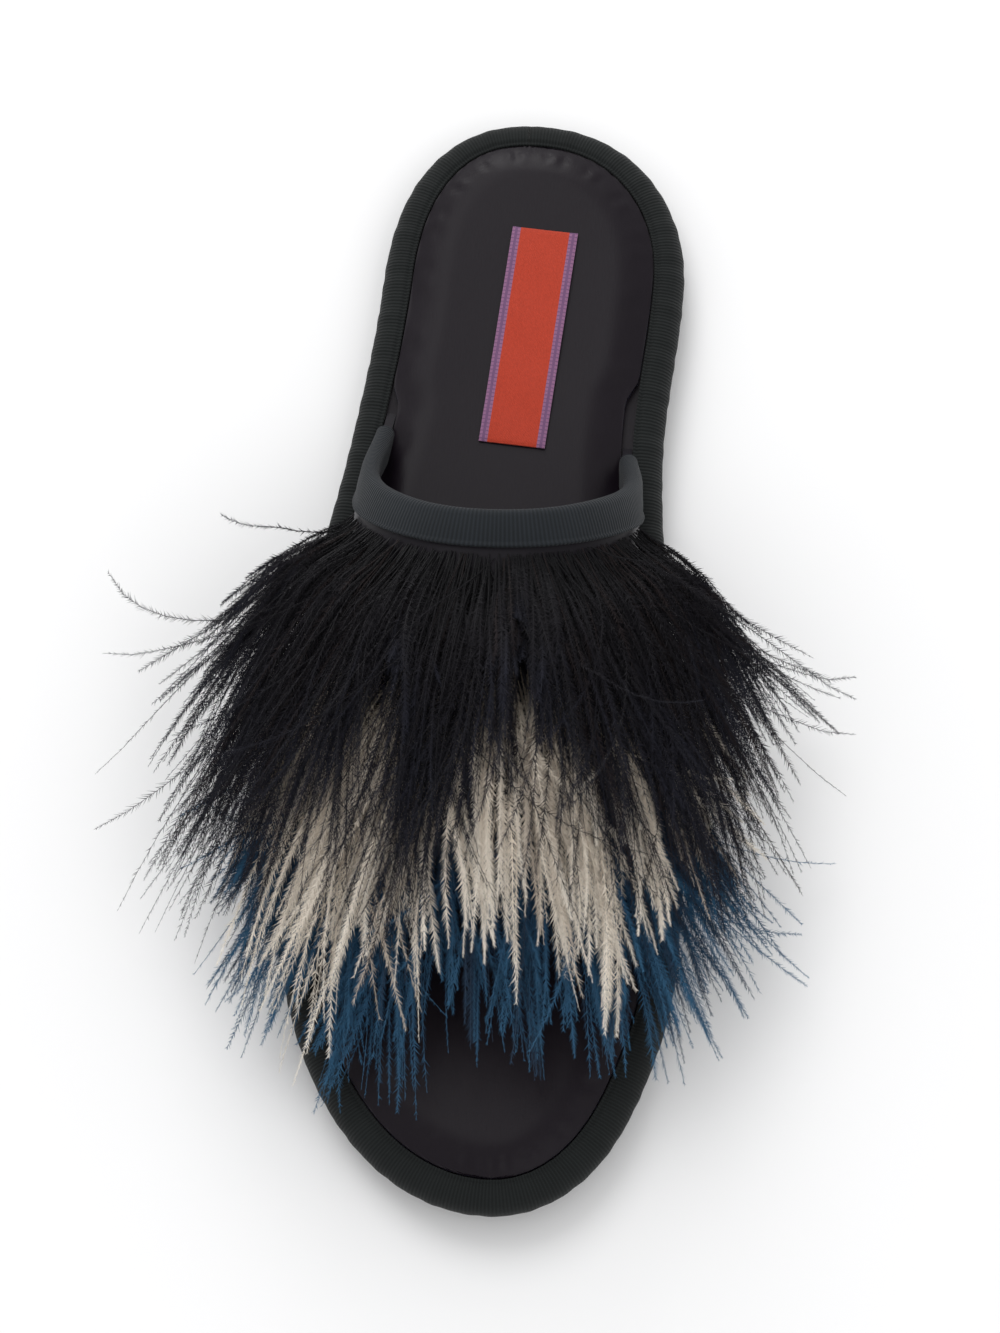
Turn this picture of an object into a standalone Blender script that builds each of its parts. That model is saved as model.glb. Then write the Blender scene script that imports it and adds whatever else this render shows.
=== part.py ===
"""Feather-trimmed slide slipper for the right foot, in metres, +Z up.

The toe points along -Y and the medial (big toe) side is +X. The origin lies on the flat
underside of the outsole, halfway along it, on the line from the heel's end to the toe's end.
"""

from collections import namedtuple
from math import pi, radians

import bmesh
import bpy
import numpy as np

MM = 0.001
GAP = 0.3 * MM  # left between neighbouring pieces

# Overall form
SOLE_LENGTH = 260 * MM
BALL_WIDTH = 90 * MM
HEEL_WIDTH = 67 * MM
TOE_SPRING = 3.0 * MM

# The layers under the foot, from the floor up
OUTSOLE_THICKNESS = 3.0 * MM
OUTSOLE_EDGE_ROUND = 0.8 * MM
OUTSOLE_INSET = 6.0 * MM  # from the core's edge
CORE_THICKNESS = 7.0 * MM
PAD_THICKNESS = 3.8 * MM
PAD_EDGE_THICKNESS = 0.9 * MM
PAD_CROWN_WIDTH = 9.0 * MM  # over this width the pad swells from its edge to its full thickness
PAD_STEP_LENGTH = 8.0 * MM  # how far outside the vamp's ends the pad's edge begins to step in

# Grosgrain ribbon round the edge of the core
RIBBON_THICKNESS = 1.0 * MM
RIBBON_TOP_LIP = 5.5 * MM
RIBBON_BOTTOM_LIP = 4.5 * MM

# Satin vamp: a band over the forefoot, open at the throat, at the toes and underneath
VAMP_WALL = 2.0 * MM
INSTEP_HEIGHT = 45.0 * MM  # outside of the vamp's crest at the throat, above the core
VAMP_SIDE_BULGE = 2.5 * MM
THROAT_FROM_HEEL = 118 * MM
THROAT_LATERAL_END = 73 * MM  # where the topline meets the sole, from the heel's end
THROAT_MEDIAL_END = 81 * MM
TOPLINE_ROUNDNESS = 0.72  # 1 gives the throat the curve of a sine, less gives it square corners
TOE_EDGE_FROM_HEEL = 192 * MM
TOE_EDGE_SIDES_FORWARD = 12 * MM

# Grosgrain ribbon folded over the vamp's two free edges
FOLD_THICKNESS = 0.8 * MM
THROAT_FOLD_DEPTH = 6.5 * MM
TOE_FOLD_DEPTH = 5.0 * MM
FOLD_INNER_DEPTH = 4.0 * MM
FOLD_CLEAR_OF_SOLE = 4.0 * MM  # the fold's ends stop this far above the vamp's foot

# Woven label on the insole, bare
LABEL_LENGTH = 54 * MM
LABEL_WIDTH = 15 * MM
LABEL_THICKNESS = 0.5 * MM
LABEL_FROM_HEEL = 55.5 * MM
LABEL_MEDIAL_SHIFT = 2.0 * MM
LABEL_TURN = radians(-6.4)

# Feather trim: three rows of locks that fan out over the vamp, the toes and both sides
FEATHER_REACH = 82 * MM  # of the longest lock
CREAM_ROOTS = 24 * MM  # how far the roots of the middle and of the lowest row lie in front
BLUE_ROOTS = 50 * MM  # of the top row's roots
FEATHER_THICKNESS = 4.4 * MM
FEATHER_TIP_THICKNESS = 1.2 * MM
FEATHER_LATERAL_REACH = 87 * MM  # how far from the middle the fan would come down to its lowest
FEATHER_MEDIAL_REACH = 73 * MM
FEATHER_LOWEST = 4.0 * MM
FEATHER_SEAT = 0.4 * MM  # between a row's roots and the vamp
FEATHER_CLEARANCE = 0.9 * MM  # past its roots, from the vamp's ribbons and the row below
FEATHER_ROOT_SETBACK = 1.2 * MM  # of the top row's roots from the throat ribbon
LOCK_COLUMNS = 4  # grid columns for each lock: notch, shoulder, tip, shoulder
LOCK_ROWS = 6
LOCK_ROW_CROWDING = 1.6  # crowds a lock's grid rows towards its root, where it bends most

RING_STEPS = 26  # stations from heel to toe along each side of an outline
EDGE_STEPS = 4  # round the core's half-round edge
VAMP_STEPS_ALONG = 10
VAMP_STEPS_ACROSS = 28
VAMP_SEARCH_STEPS = 300  # across the arch, where its height over a point is looked for
VAMP_SEARCH_WIDTH = 1 * MM
SLOPE_STEP = 0.002  # share of the arch, and of the sole's length, over which slopes are taken

# Half widths from the line between heel end and toe end, as shares of the size named last
SoleSection = namedtuple("SoleSection", "along lateral medial of")
SOLE_SECTIONS = (
    SoleSection(0.00, 0.443, 0.531, HEEL_WIDTH),
    SoleSection(0.16, 0.462, 0.528, HEEL_WIDTH),
    SoleSection(0.31, 0.548, 0.473, HEEL_WIDTH),
    SoleSection(0.48, 0.510, 0.378, BALL_WIDTH),
    SoleSection(0.66, 0.580, 0.428, BALL_WIDTH),
    SoleSection(0.80, 0.515, 0.415, BALL_WIDTH),
    SoleSection(0.90, 0.495, 0.402, BALL_WIDTH),
    SoleSection(1.00, 0.490, 0.420, BALL_WIDTH),
)
HEEL_ROUND = 0.155  # share of the length over which the heel end rounds off
HEEL_FULLNESS = 2.2
TOE_ROUND = 0.23
TOE_FULLNESS = 2.0
SPRING_START = 0.70  # share of the length where the toe begins to rise

# The arch over the foot: crest height as a share of INSTEP_HEIGHT, and how far the crest
# leans to the medial side as a share of the arch's half width
VampSection = namedtuple("VampSection", "along crest lean fullness")
VAMP_SECTIONS = (
    VampSection(0.27, 1.04, 0.12, 2.10),
    VampSection(0.45, 1.00, 0.12, 2.15),
    VampSection(0.60, 0.82, 0.10, 2.30),
    VampSection(0.74, 0.61, 0.04, 2.50),
    VampSection(0.85, 0.50, 0.00, 2.60),
)

# Height of the fan of feathers over the middle of the shoe, as a share of INSTEP_HEIGHT
FanSection = namedtuple("FanSection", "along crest")
FAN_SECTIONS = (
    FanSection(0.25, 1.03),
    FanSection(0.45, 1.01),
    FanSection(0.60, 0.85),
    FanSection(0.76, 0.66),
    FanSection(0.94, 0.20),
)
FAN_DROOP = 1.7  # how the fan falls to the sides: 1 in a straight slope, 2 in a parabola

# Each row of feathers: how far its roots lie in front of the top row's, how many locks it has,
# its reach as a share of FEATHER_REACH at the lateral end, mid-lateral, front, mid-medial and
# medial end, how far round it fans, and its place in the pile, counted from the vamp
FeatherRow = namedtuple("FeatherRow", "name root locks reach fan layer colour")
FEATHER_ROWS = (
    FeatherRow(
        "feathers_blue", BLUE_ROOTS, 15, (0.48, 0.66, 0.74, 0.70, 0.44), radians(56), 0,
        (0.03, 0.10, 0.20),
    ),
    FeatherRow(
        "feathers_cream", CREAM_ROOTS, 16, (0.50, 0.80, 0.80, 0.68, 0.46), radians(64), 1,
        (0.55, 0.50, 0.41),
    ),
    FeatherRow(
        "feathers_black", 0.0, 18, (0.34, 1.00, 0.90, 0.78, 0.36), radians(74), 2,
        (0.018, 0.017, 0.024),
    ),
)
FAN_EVENNESS = 0.75  # below 1 the locks turn quickly near the front and then keep to one heading
LOCK_LENGTHS = (0.50, 0.86, 1.00, 0.86)  # of the row's reach, for each column of a lock
LOCK_BODY = (0.50, 0.85, 1.00, 0.85)  # of the full thickness, for each column of a lock
LOCK_UNEVEN = 0.11  # how much the locks differ in length
LOCK_UNEVEN_TURN = 2.4  # radians from one lock to the next in the wave that sets their lengths
LOCK_SWEEP = 2.5 * MM  # how far a lock's tip leans sideways
LOCK_SWEEP_TURN = 1.7  # radians from one lock to the next in the wave that sets their lean
LOCK_SETTLE = 0.3  # share of a lock's length over which it comes away from the vamp
LOCK_CLIMB = 0.6  # at most so much rise from its root for each length of its way outwards
LOCK_TAPER = (0.35, 1.15)  # shares of its length between which it thins towards its tip
LOCK_ROOT_BODY = 0.6  # of its full thickness, at its root
LOCK_SWELL = 0.25  # share of its length over which it swells from there
ROOT_SPAN = (0.17, 0.83)  # the stretch of the arch, from its lateral foot, that carries roots

SATIN = ("satin_black", (0.016, 0.014, 0.018), 0.42)
GROSGRAIN = ("grosgrain_black", (0.020, 0.024, 0.024), 0.85)
SOLE_LEATHER = ("outsole_black", (0.022, 0.022, 0.022), 0.70)
LABEL_CLOTH = ("label_orange", (0.72, 0.10, 0.02), 0.75)
FEATHER_ROUGHNESS = 0.80

CORE_BOTTOM = OUTSOLE_THICKNESS + GAP
CORE_TOP = CORE_BOTTOM + CORE_THICKNESS
PAD_BOTTOM = CORE_TOP + GAP
PAD_TOP = PAD_BOTTOM + PAD_THICKNESS
VAMP_FOOT = CORE_TOP + GAP
VAMP_INSET = RIBBON_TOP_LIP + GAP  # the vamp stands just inside the ribbon's top lip
PAD_INSET = RIBBON_TOP_LIP + GAP
PAD_INSET_AT_VAMP = VAMP_INSET + VAMP_WALL + 2 * GAP


def from_rows(rows, column, at):
    """A smooth curve through one column of a table of sections, read at the shares given."""
    xs = np.array([row.along for row in rows])
    ys = np.array([getattr(row, column) for row in rows])
    at = np.clip(at, xs[0], xs[-1])
    slopes = np.gradient(ys, xs)
    i = np.clip(np.searchsorted(xs, at) - 1, 0, len(xs) - 2)
    width = xs[i + 1] - xs[i]
    t = (at - xs[i]) / width
    return (
        ys[i] * (2 * t**3 - 3 * t**2 + 1)
        + ys[i + 1] * (3 * t**2 - 2 * t**3)
        + slopes[i] * width * (t**3 - 2 * t**2 + t)
        + slopes[i + 1] * width * (t**3 - t**2)
    )


def smooth_step(low, high, at):
    t = np.clip((at - low) / (high - low), 0, 1)
    return t * t * (3 - 2 * t)


def from_heel(distance):
    """The Y of a point this far in front of the heel's end."""
    return SOLE_LENGTH / 2 - distance


def rounded_end(distance, length, fullness):
    """From 0 at the end of the sole to 1 a length further in, as a superellipse."""
    t = np.clip(1 - distance / length, 0, 1)
    return (1 - t**fullness) ** (1 / fullness)


def half_width(side, share):
    rows = [
        row._replace(**{side: getattr(row, side) * row.of})
        for row in SOLE_SECTIONS
    ]
    heel = rounded_end(share, HEEL_ROUND, HEEL_FULLNESS)
    toe = rounded_end(1 - share, TOE_ROUND, TOE_FULLNESS)
    return from_rows(rows, side, share) * heel * toe


def outline():
    """The core's edge seen from above, a closed ring: down the lateral side and back up."""
    share = (1 - np.cos(np.linspace(0, pi, RING_STEPS + 1))) / 2
    lateral = np.stack([-half_width("lateral", share), from_heel(share * SOLE_LENGTH)], 1)
    medial = np.stack([half_width("medial", share), from_heel(share * SOLE_LENGTH)], 1)
    return np.concatenate([lateral, medial[-2:0:-1]])


def inset_outline(inset):
    """The core's edge moved inwards, by one distance or by one for each of its points."""
    ring = outline()
    along = np.roll(ring, -1, 0) - np.roll(ring, 1, 0)
    along /= np.linalg.norm(along, axis=1, keepdims=True)
    inwards = np.stack([-along[:, 1], along[:, 0]], 1)
    return ring + inwards * np.broadcast_to(inset, len(ring))[:, None]


def toe_rise(y):
    """How far the shoe's layers lift off the floor towards the toe."""
    share = 0.5 - y / SOLE_LENGTH
    return TOE_SPRING * np.clip((share - SPRING_START) / (1 - SPRING_START), 0, None) ** 2


def ring_at(inset, height):
    flat = inset_outline(inset)
    return np.column_stack([flat, height + toe_rise(flat[:, 1])])


def pad_inset(extra):
    """Inset of the pad's edge, deeper between the ends of the vamp, which stands beside it."""
    y = outline()[:, 1]
    far, near = PAD_STEP_LENGTH, PAD_STEP_LENGTH / 4
    back = from_heel(min(THROAT_LATERAL_END, THROAT_MEDIAL_END))
    front = from_heel(TOE_EDGE_FROM_HEEL + TOE_EDGE_SIDES_FORWARD)
    beside = smooth_step(back + far, back + near, y) * smooth_step(front - far, front - near, y)
    return PAD_INSET + (PAD_INSET_AT_VAMP - PAD_INSET) * beside + extra


def new_object(name, points, faces, finish):
    mesh = bpy.data.meshes.new(name)
    mesh.from_pydata([tuple(p) for p in points], [], faces)
    mesh.update()
    obj = bpy.data.objects.new(name, mesh)
    slipper.objects.link(obj)
    paint(obj, finish)
    return obj


def paint(obj, finish):
    name, colour, roughness = finish
    material = bpy.data.materials.get(name) or bpy.data.materials.new(name)
    material.use_nodes = True
    shader = material.node_tree.nodes["Principled BSDF"]
    shader.inputs["Base Color"].default_value = (*colour, 1)
    shader.inputs["Roughness"].default_value = roughness
    obj.data.materials.append(material)


def smooth(obj, angle=35):
    obj.data.shade_smooth()
    obj.data.set_sharp_from_angle(angle=radians(angle))


def recalculate_normals(obj):
    work = bmesh.new()
    work.from_mesh(obj.data)
    bmesh.ops.recalc_face_normals(work, faces=work.faces)
    work.to_mesh(obj.data)
    work.free()


def sole_layer(name, rings, finish):
    """A solid through rings stacked from its underside to its top, closed by rungs across."""
    count = len(rings[0])
    faces = []
    for level in range(len(rings) - 1):
        for i in range(count):
            j = (i + 1) % count
            low, high = level * count, (level + 1) * count
            faces.append((low + i, low + j, high + j, high + i))
    for start in (0, (len(rings) - 1) * count):
        for i in range(count // 2):
            ends = [start + i, start + i + 1, start + (count - i - 1) % count, start + (count - i) % count]
            faces.append(tuple(dict.fromkeys(ends)))
    obj = new_object(name, np.concatenate(rings), faces, finish)
    recalculate_normals(obj)
    smooth(obj)
    return obj


def grid_faces(rows, columns, closed=False):
    """Quads over a grid of points stored row by row, joined up across the rows if closed."""
    faces = []
    for i in range(rows - 1):
        for j in range(columns if closed else columns - 1):
            k = (j + 1) % columns
            faces.append((i * columns + j, i * columns + k, (i + 1) * columns + k, (i + 1) * columns + j))
    return faces


def shell(name, grid, thickness, side, finish, closed=False):
    """An open surface given a wall: side 1 thickens it along its normals, -1 against them."""
    rows, columns = grid.shape[:2]
    obj = new_object(name, grid.reshape(-1, 3), grid_faces(rows, columns, closed), finish)
    wall = obj.modifiers.new("wall", "SOLIDIFY")
    wall.thickness = thickness
    wall.offset = side
    wall.use_even_offset = True
    smooth(obj)
    return obj


def make_outsole():
    edge = OUTSOLE_EDGE_ROUND
    rings = [
        ring_at(OUTSOLE_INSET + edge, 0),
        ring_at(OUTSOLE_INSET + 0.3 * edge, 0.3 * edge),
        ring_at(OUTSOLE_INSET, edge),
        ring_at(OUTSOLE_INSET, OUTSOLE_THICKNESS),
    ]
    return sole_layer("outsole", rings, SOLE_LEATHER)


def edge_path(offset, top_lip, bottom_lip):
    """Inset and height round the core's edge, from the bottom lip to the top one, this far out."""
    radius = CORE_THICKNESS / 2
    middle = CORE_BOTTOM + radius
    turn = np.linspace(-pi / 2, pi / 2, EDGE_STEPS + 1)
    inset = radius - (radius + offset) * np.cos(turn)
    height = middle + (radius + offset) * np.sin(turn)
    inset = np.concatenate([[bottom_lip], inset, [top_lip]])
    height = np.concatenate([[height[0]], height, [height[-1]]])
    return list(zip(inset, height))


def make_core():
    """The board and foam that the ribbon is folded round, with a half-round edge."""
    lip = CORE_THICKNESS  # flat from here inwards
    rings = [ring_at(inset, height) for inset, height in edge_path(0, lip, lip)]
    return sole_layer("core", rings, SATIN)


def make_edge_ribbon():
    path = edge_path(GAP, RIBBON_TOP_LIP, RIBBON_BOTTOM_LIP)
    grid = np.stack([ring_at(inset, height) for inset, height in path])
    return shell("edge_ribbon", grid, RIBBON_THICKNESS, 1, GROSGRAIN, closed=True)


def make_insole():
    """The satin-covered pad, swelling from its sewn edge to a flat middle."""
    share = np.array([0.0, 0.15, 0.4, 0.7, 1.0])
    swell = np.sin(share * pi / 2) ** 0.8
    rings = [ring_at(pad_inset(0), PAD_BOTTOM)]
    for across, up in zip(share, swell):
        height = PAD_BOTTOM + PAD_EDGE_THICKNESS + (PAD_THICKNESS - PAD_EDGE_THICKNESS) * up
        rings.append(ring_at(pad_inset(across * PAD_CROWN_WIDTH), height))
    return sole_layer("insole", rings, SATIN)


def topline(v):
    """Distance from the heel's end to the throat's edge, v running from lateral to medial foot."""
    ends = THROAT_LATERAL_END + (THROAT_MEDIAL_END - THROAT_LATERAL_END) * v
    return ends + (THROAT_FROM_HEEL - ends) * np.sin(pi * v) ** TOPLINE_ROUNDNESS


def toe_edge(v):
    """Distance from the heel's end to the vamp's front edge, curved back over the toes."""
    return TOE_EDGE_FROM_HEEL + TOE_EDGE_SIDES_FORWARD * (1 - np.sin(pi * v))


def vamp_feet(y):
    """X of the vamp's outer face at its lateral and medial foot, for each Y."""
    ring = inset_outline(VAMP_INSET)
    lateral, medial = ring[: RING_STEPS + 1], np.concatenate([ring[:1], ring[: RING_STEPS - 1: -1]])
    return (
        np.interp(-y, -lateral[:, 1], lateral[:, 0]),
        np.interp(-y, -medial[:, 1], medial[:, 0]),
    )


def vamp_point(distance, v):
    """The vamp's outer face, this far from the heel's end, v from the lateral to the medial foot."""
    distance, v = np.broadcast_arrays(distance, v)
    y = from_heel(distance)
    lateral, medial = vamp_feet(y)
    share = distance / SOLE_LENGTH
    power = 2 / from_rows(VAMP_SECTIONS, "fullness", share)
    crest = INSTEP_HEIGHT * from_rows(VAMP_SECTIONS, "crest", share)
    half = (medial - lateral) / 2
    angle = pi * (1 - v)
    across = np.sign(np.cos(angle)) * np.abs(np.cos(angle)) ** power
    up = np.abs(np.sin(angle)) ** power
    lean = from_rows(VAMP_SECTIONS, "lean", share) * up
    bulge = VAMP_SIDE_BULGE * np.sin(pi * up) ** 2 * np.sign(across)
    x = (lateral + medial) / 2 + half * (across + lean) + bulge
    return np.stack([x, y, VAMP_FOOT + crest * up + toe_rise(y)], -1)


def vamp_normal(distance, v):
    step, turn = SLOPE_STEP * SOLE_LENGTH, SLOPE_STEP
    ahead = vamp_point(distance + step, v) - vamp_point(distance - step, v)
    across = vamp_point(distance, np.clip(v + turn, 0, 1)) - vamp_point(distance, np.clip(v - turn, 0, 1))
    normal = np.cross(ahead, across)
    return normal / np.linalg.norm(normal, axis=-1, keepdims=True)


def beside_edge(edge, v, depth):
    """Where on the vamp a point lies that is this far from a free edge, square to that edge."""
    step, turn = SLOPE_STEP * SOLE_LENGTH, SLOPE_STEP
    point = vamp_point(edge(v), v)
    forward = (vamp_point(edge(v) + step, v) - point) / step
    around = (vamp_point(edge(v), v + turn) - vamp_point(edge(v), v - turn)) / (2 * turn)
    along = vamp_point(edge(v + turn), v + turn) - vamp_point(edge(v - turn), v - turn)
    along /= np.linalg.norm(along, axis=-1, keepdims=True)
    square = np.cross(vamp_normal(edge(v), v), along)
    square *= np.sign((square * forward).sum(-1, keepdims=True))
    frame = np.stack([forward, around], -1)
    shares = np.einsum("...ij,...j->...i", np.linalg.pinv(frame), square * depth)
    return edge(v) + shares[..., 0], v + shares[..., 1]


def make_vamp():
    """The satin wall. Its inner face's foot stands level with the outer one's, on the core."""
    u, v = np.meshgrid(
        np.linspace(0, 1, VAMP_STEPS_ALONG + 1), np.linspace(0, 1, VAMP_STEPS_ACROSS + 1), indexing="ij"
    )
    distance = topline(v) * (1 - u) + toe_edge(v) * u
    outside = vamp_point(distance, v)
    inside = outside - vamp_normal(distance, v) * VAMP_WALL
    inside[:, [0, -1], 2] = outside[:, [0, -1], 2]
    return slab("vamp", outside, inside, SATIN)


def make_fold(name, edge, inwards, depth):
    """Ribbon folded over a free edge of the vamp. inwards is 1 where the vamp lies in front."""
    share = edge(0.5) / SOLE_LENGTH
    rise = FOLD_CLEAR_OF_SOLE / (INSTEP_HEIGHT * from_rows(VAMP_SECTIONS, "crest", share))
    first = np.arcsin(rise ** (from_rows(VAMP_SECTIONS, "fullness", share) / 2)) / pi
    v = np.linspace(first, 1 - first, VAMP_STEPS_ACROSS + 1)
    reach = VAMP_WALL / 2 + GAP
    turn = np.linspace(pi / 2, -pi / 2, 5)
    behind = np.concatenate([[-depth, -depth / 2], reach * np.cos(turn) + GAP, [-FOLD_INNER_DEPTH]])
    out = np.concatenate([[reach, reach], reach * np.sin(turn), [-reach]])
    rows = []
    for back, off in zip(behind, out):
        distance, across = beside_edge(edge, v, -inwards * back)
        across = np.clip(across, first, 1 - first)
        rows.append(vamp_point(distance, across) + vamp_normal(edge(v), v) * (off - VAMP_WALL / 2))
    return shell(name, np.stack(rows), FOLD_THICKNESS, inwards, GROSGRAIN)


def make_label():
    bpy.ops.mesh.primitive_cube_add(size=1)
    obj = bpy.context.object
    obj.name = "label"
    obj.data.name = "label"
    obj.scale = (LABEL_WIDTH, LABEL_LENGTH, LABEL_THICKNESS)
    bpy.ops.object.transform_apply(location=False, rotation=False, scale=True)
    obj.rotation_euler.z = LABEL_TURN
    height = PAD_TOP + GAP + LABEL_THICKNESS / 2
    obj.location = (LABEL_MEDIAL_SHIFT, from_heel(LABEL_FROM_HEEL), height)
    for other in obj.users_collection:
        other.objects.unlink(obj)
    slipper.objects.link(obj)
    paint(obj, LABEL_CLOTH)
    return obj


def vamp_top(x, y):
    """Height of the vamp's outer face over a point, and far below the floor where it has none."""
    nose = VAMP_WALL / 2 + 2 * GAP + FOLD_THICKNESS  # how far the ribbons reach past its edges
    v = np.linspace(0, 1, VAMP_SEARCH_STEPS + 1)
    distance = (SOLE_LENGTH / 2 - y)[..., None]
    arch = vamp_point(distance, v)
    there = (topline(v) - nose < distance) & (distance < toe_edge(v) + nose)
    over = there & (np.abs(arch[..., 0] - x[..., None]) < VAMP_SEARCH_WIDTH)
    return np.where(over, arch[..., 2], -SOLE_LENGTH).max(-1)


def fan_height(x, y):
    """The underside of the fan of feathers: a ridge over the shoe that droops to both sides."""
    share = 0.5 - y / SOLE_LENGTH
    crest = VAMP_FOOT + INSTEP_HEIGHT * from_rows(FAN_SECTIONS, "crest", share)
    reach = np.where(x < 0, FEATHER_LATERAL_REACH, FEATHER_MEDIAL_REACH)
    return FEATHER_LOWEST + (crest - FEATHER_LOWEST) * (1 - np.abs(x / reach) ** FAN_DROOP)


def make_feathers(row):
    """One row of feathers: a skirt over the vamp whose edge is cut into pointed locks."""
    columns = LOCK_COLUMNS * row.locks + 1
    j = np.arange(columns)
    v = ROOT_SPAN[0] + (ROOT_SPAN[1] - ROOT_SPAN[0]) * j / (columns - 1)
    distance, v = beside_edge(topline, v, THROAT_FOLD_DEPTH + FEATHER_ROOT_SETBACK)
    root = vamp_point(distance + row.root, v)
    outwards = vamp_normal(distance + row.root, v)
    root = root + outwards * FEATHER_SEAT
    lock = np.minimum(j // LOCK_COLUMNS, row.locks - 1)
    uneven = 1 + LOCK_UNEVEN * np.sin(LOCK_UNEVEN_TURN * lock + row.layer)
    reach = FEATHER_REACH * np.interp(j / (columns - 1), np.linspace(0, 1, len(row.reach)), row.reach)
    length = np.array(LOCK_LENGTHS)[j % LOCK_COLUMNS]
    reach = reach * uneven * length
    side = 2 * j / (columns - 1) - 1
    heading = row.fan * np.sign(side) * np.abs(side) ** FAN_EVENNESS
    sweep = LOCK_SWEEP * np.sin(LOCK_SWEEP_TURN * lock + 2 * row.layer) * (j % LOCK_COLUMNS != 0)
    t = np.linspace(0, 1, LOCK_ROWS + 1)[:, None] ** LOCK_ROW_CROWDING
    x = root[:, 0] + reach * np.sin(heading) * t + sweep * np.cos(heading) * t**2
    y = root[:, 1] - reach * np.cos(heading) * t + sweep * np.sin(heading) * t**2
    settled = smooth_step(0, LOCK_SETTLE, t * length)
    seat = vamp_top(x, y) + GAP + FOLD_THICKNESS + FEATHER_CLEARANCE
    seat[0] = root[:, 2]
    pile = row.layer * (FEATHER_THICKNESS + FEATHER_CLEARANCE)
    aim = np.minimum(np.maximum(fan_height(x, y), seat) + pile, seat[0] + LOCK_CLIMB * reach * t)
    low = np.maximum(seat[0] * (1 - settled) + aim * settled, seat)
    swell = LOCK_ROOT_BODY + (1 - LOCK_ROOT_BODY) * smooth_step(0, LOCK_SWELL, t)
    body = smooth_step(LOCK_TAPER[1], LOCK_TAPER[0], t) * swell * np.array(LOCK_BODY)[j % LOCK_COLUMNS]
    thickness = FEATHER_TIP_THICKNESS + (FEATHER_THICKNESS - FEATHER_TIP_THICKNESS) * body
    upwards = outwards * (1 - settled)[..., None] + np.array([0, 0, 1]) * settled[..., None]
    bottom = np.stack([x, y, low], -1)
    top = bottom + upwards * thickness[..., None]
    return slab(row.name, top, bottom, (row.name, row.colour, FEATHER_ROUGHNESS))


def slab(name, top, bottom, finish):
    """A closed solid between an upper and a lower surface on the same grid."""
    rows, columns = top.shape[:2]
    count = rows * columns
    faces = grid_faces(rows, columns)
    faces += [tuple(i + count for i in reversed(face)) for face in faces]
    rim = [(0, j) for j in range(columns)]
    rim += [(i, columns - 1) for i in range(1, rows)]
    rim += [(rows - 1, j) for j in range(columns - 2, -1, -1)]
    rim += [(i, 0) for i in range(rows - 2, 0, -1)]
    edge = [i * columns + j for i, j in rim]
    for a, b in zip(edge, edge[1:] + edge[:1]):
        faces.append((b, a, a + count, b + count))
    obj = new_object(name, np.concatenate([top.reshape(-1, 3), bottom.reshape(-1, 3)]), faces, finish)
    recalculate_normals(obj)
    smooth(obj)
    return obj


for old in list(bpy.data.objects):
    bpy.data.objects.remove(old)
slipper = bpy.data.collections.new("feather_slipper")
bpy.context.scene.collection.children.link(slipper)

make_outsole()
make_core()
make_edge_ribbon()
make_insole()
make_vamp()
make_fold("throat_ribbon", topline, 1, THROAT_FOLD_DEPTH)
make_fold("toe_ribbon", toe_edge, -1, TOE_FOLD_DEPTH)
make_label()
for feather_row in FEATHER_ROWS:
    make_feathers(feather_row)
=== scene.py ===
from math import pi, radians, sin, cos

import bpy
import numpy as np
from mathutils import Matrix, Vector


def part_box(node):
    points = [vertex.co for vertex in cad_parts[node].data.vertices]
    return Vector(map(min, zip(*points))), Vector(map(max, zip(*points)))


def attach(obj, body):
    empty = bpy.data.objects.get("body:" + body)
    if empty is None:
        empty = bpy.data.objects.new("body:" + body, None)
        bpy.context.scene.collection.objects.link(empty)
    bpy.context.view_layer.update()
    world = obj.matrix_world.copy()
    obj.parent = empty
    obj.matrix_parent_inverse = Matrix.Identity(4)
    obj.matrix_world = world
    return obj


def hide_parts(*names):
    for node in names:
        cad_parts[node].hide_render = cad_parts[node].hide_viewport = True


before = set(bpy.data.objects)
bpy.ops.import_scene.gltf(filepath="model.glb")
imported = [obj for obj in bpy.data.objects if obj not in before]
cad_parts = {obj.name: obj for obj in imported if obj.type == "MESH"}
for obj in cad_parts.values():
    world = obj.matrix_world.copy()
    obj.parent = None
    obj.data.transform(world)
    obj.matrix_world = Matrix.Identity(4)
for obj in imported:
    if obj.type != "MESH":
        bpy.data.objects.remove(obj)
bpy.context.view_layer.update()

mm = 0.001
gap = 0.3 * mm  # left between neighbouring pieces

# The shoe's form. Heights and ends come from the frame, the shares are those of its last.
coreLow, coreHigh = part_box("core")
insoleLow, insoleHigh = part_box("insole")
vampLow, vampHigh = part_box("vamp")
sole = {
    "length": coreHigh.y - coreLow.y,
    "ballWidth": 90 * mm,
    "heelWidth": 67 * mm,
    "toeSpring": 3 * mm,
    "springStart": 0.70,  # share of the length where the toe begins to rise
    "heelRound": 0.155,  # share of the length over which each end rounds off
    "heelFullness": 2.2,
    "toeRound": 0.23,
    "toeFullness": 2.0,
    "outsoleThickness": 3 * mm,
    "outsoleInset": 6 * mm,
    "coreBottom": coreLow.z,
    "coreTop": insoleLow.z - gap,
    "padThickness": 3.8 * mm,
    "padEdge": 0.9 * mm,
    "padCrown": 9 * mm,
    "ribbonThickness": 1.0 * mm,
    "topLip": 5.5 * mm,
    "bottomLip": 4.5 * mm,
}
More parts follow.
